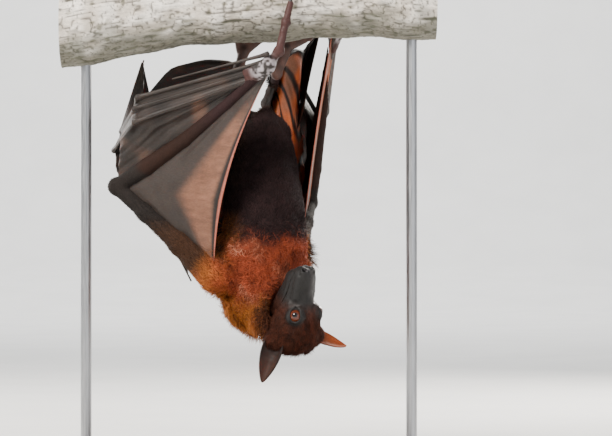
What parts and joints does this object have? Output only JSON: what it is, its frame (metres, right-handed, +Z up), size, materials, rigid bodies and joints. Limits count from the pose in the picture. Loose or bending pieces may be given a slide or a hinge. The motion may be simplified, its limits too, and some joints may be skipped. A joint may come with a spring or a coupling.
{
  "type": "flying fox model on a display stand",
  "caption": "Life-size fruit bat hanging head down from a cut branch by feet and thumbs, wings half folded, branch held by two rods on a flat base.",
  "frame": {"origin": "centre of the underside of the stand's base", "axes": "+Z up, -Y towards the bat's belly side, +X towards its right side"},
  "size_m": [0.344, 0.3, 0.4728],
  "materials": {
    "stand_board": "satin dark stain",
    "stand_steel": "satin black",
    "bark": "pale weathered bark",
    "eye": "wet, dark red-brown",
    "face_fur": "short dark fur",
    "body_fur": "dense woolly fur",
    "mantle_fur": "golden rust fur",
    "ear_skin": "bare thin skin",
    "arm_fur": "short dark fur",
    "hand_skin": "wrinkled skin",
    "arm_skin": "dark skin",
    "claw": "dark horn",
    "leg_skin": "dark skin with thin fur",
    "foot_skin": "wrinkled skin",
    "finger_skin": "dark skin",
    "wing_membrane": "thin wing skin"
  },
  "bodies": {
    "root": {"stand_base": "stand_board", "stand_rod_left": "stand_steel", "stand_rod_right": "stand_steel", "perch": "bark", "eye_left": "eye", "eye_right": "eye", "head": "face_fur", "trunk": "body_fur", "neck": "mantle_fur", "ear_left": "ear_skin", "upper_arm_left": "arm_fur", "hand_left": "hand_skin", "forearm_left": "arm_skin", "thumb_left": "hand_skin", "thumb_claw_left": "claw", "thigh_left": "body_fur", "shank_left": "leg_skin", "foot_left": "foot_skin", "finger_2_left": "finger_skin", "finger_3_left": "finger_skin", "finger_4_left": "finger_skin", "finger_5_left": "finger_skin", "ear_right": "ear_skin", "upper_arm_right": "arm_fur", "hand_right": "hand_skin", "forearm_right": "arm_skin", "thumb_right": "hand_skin", "thumb_claw_right": "claw", "thigh_right": "body_fur", "shank_right": "leg_skin", "foot_right": "foot_skin", "finger_2_right": "finger_skin", "finger_3_right": "finger_skin", "finger_4_right": "finger_skin", "finger_5_right": "finger_skin", "arm_membrane_left": "wing_membrane", "outer_side_membrane_left": "wing_membrane", "inner_side_membrane_left": "wing_membrane", "finger_membrane_3_4_left": "wing_membrane", "finger_membrane_4_5_left": "wing_membrane", "leg_membrane_left": "wing_membrane", "arm_membrane_right": "wing_membrane", "outer_side_membrane_right": "wing_membrane", "inner_side_membrane_right": "wing_membrane", "finger_membrane_3_4_right": "wing_membrane", "finger_membrane_4_5_right": "wing_membrane", "leg_membrane_right": "wing_membrane"}
  },
  "joints": []
}
